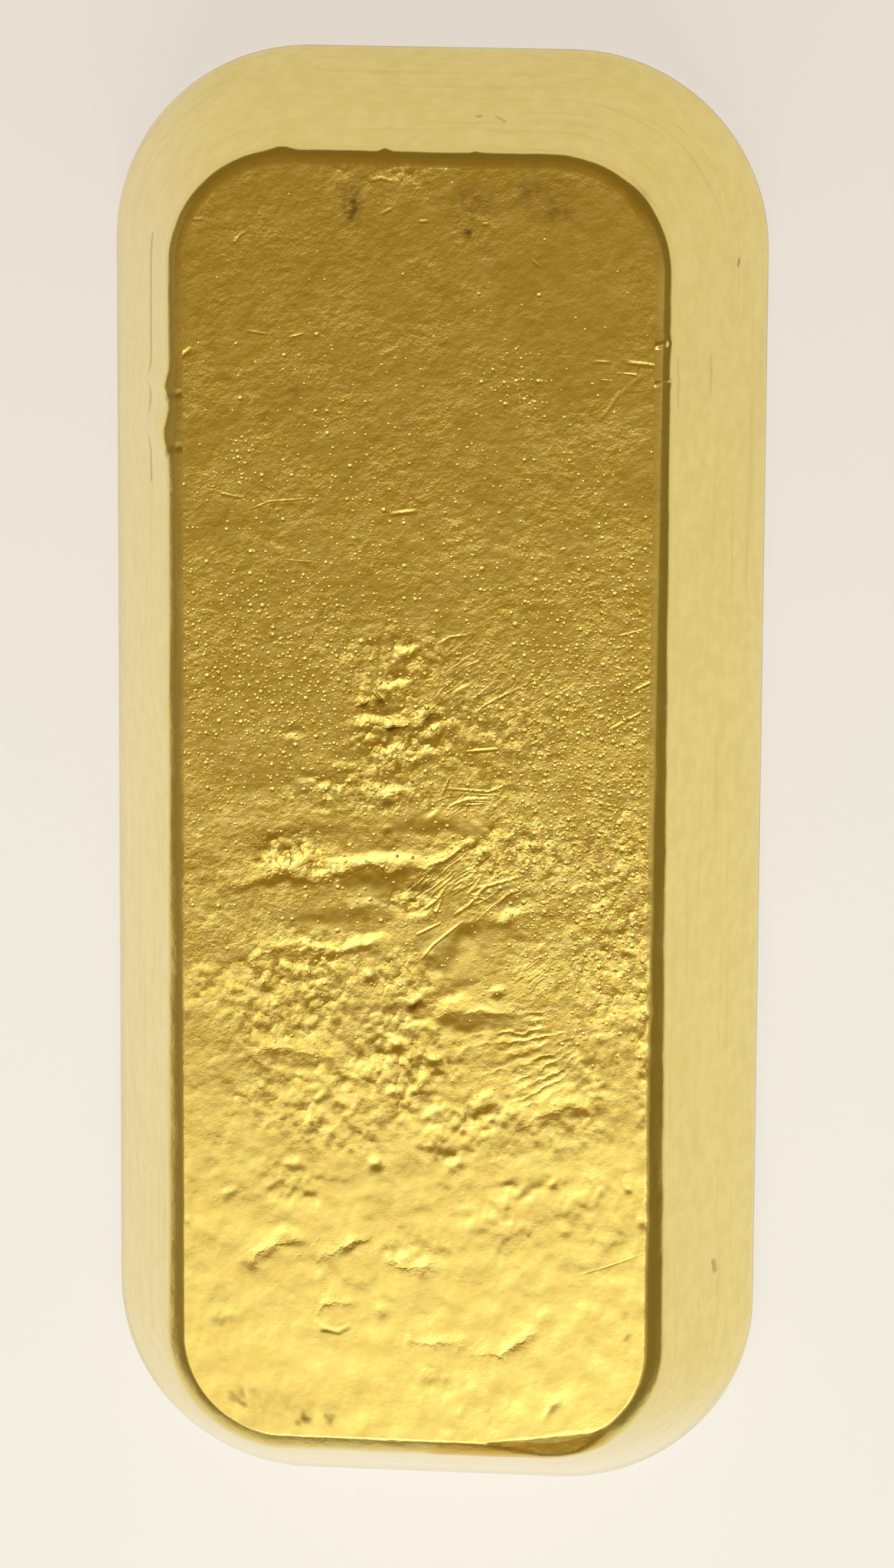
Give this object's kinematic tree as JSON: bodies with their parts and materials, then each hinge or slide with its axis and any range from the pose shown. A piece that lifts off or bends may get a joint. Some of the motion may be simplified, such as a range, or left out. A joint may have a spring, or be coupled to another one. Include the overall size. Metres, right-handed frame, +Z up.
{
  "type": "metal ingot",
  "caption": "Cast bar of yellow precious metal with drafted sides, rounded corners and a rough mould face, lying on its wider open face.",
  "frame": {"origin": "middle of the flat open face that the bar lies on", "axes": "+Z up out of the mould face, +Y along the bar, +X across it"},
  "size_m": [0.0432, 0.0974, 0.0149],
  "materials": {
    "cast_gold": "satin"
  },
  "bodies": {
    "root": {"ingot": "cast_gold"}
  },
  "joints": []
}
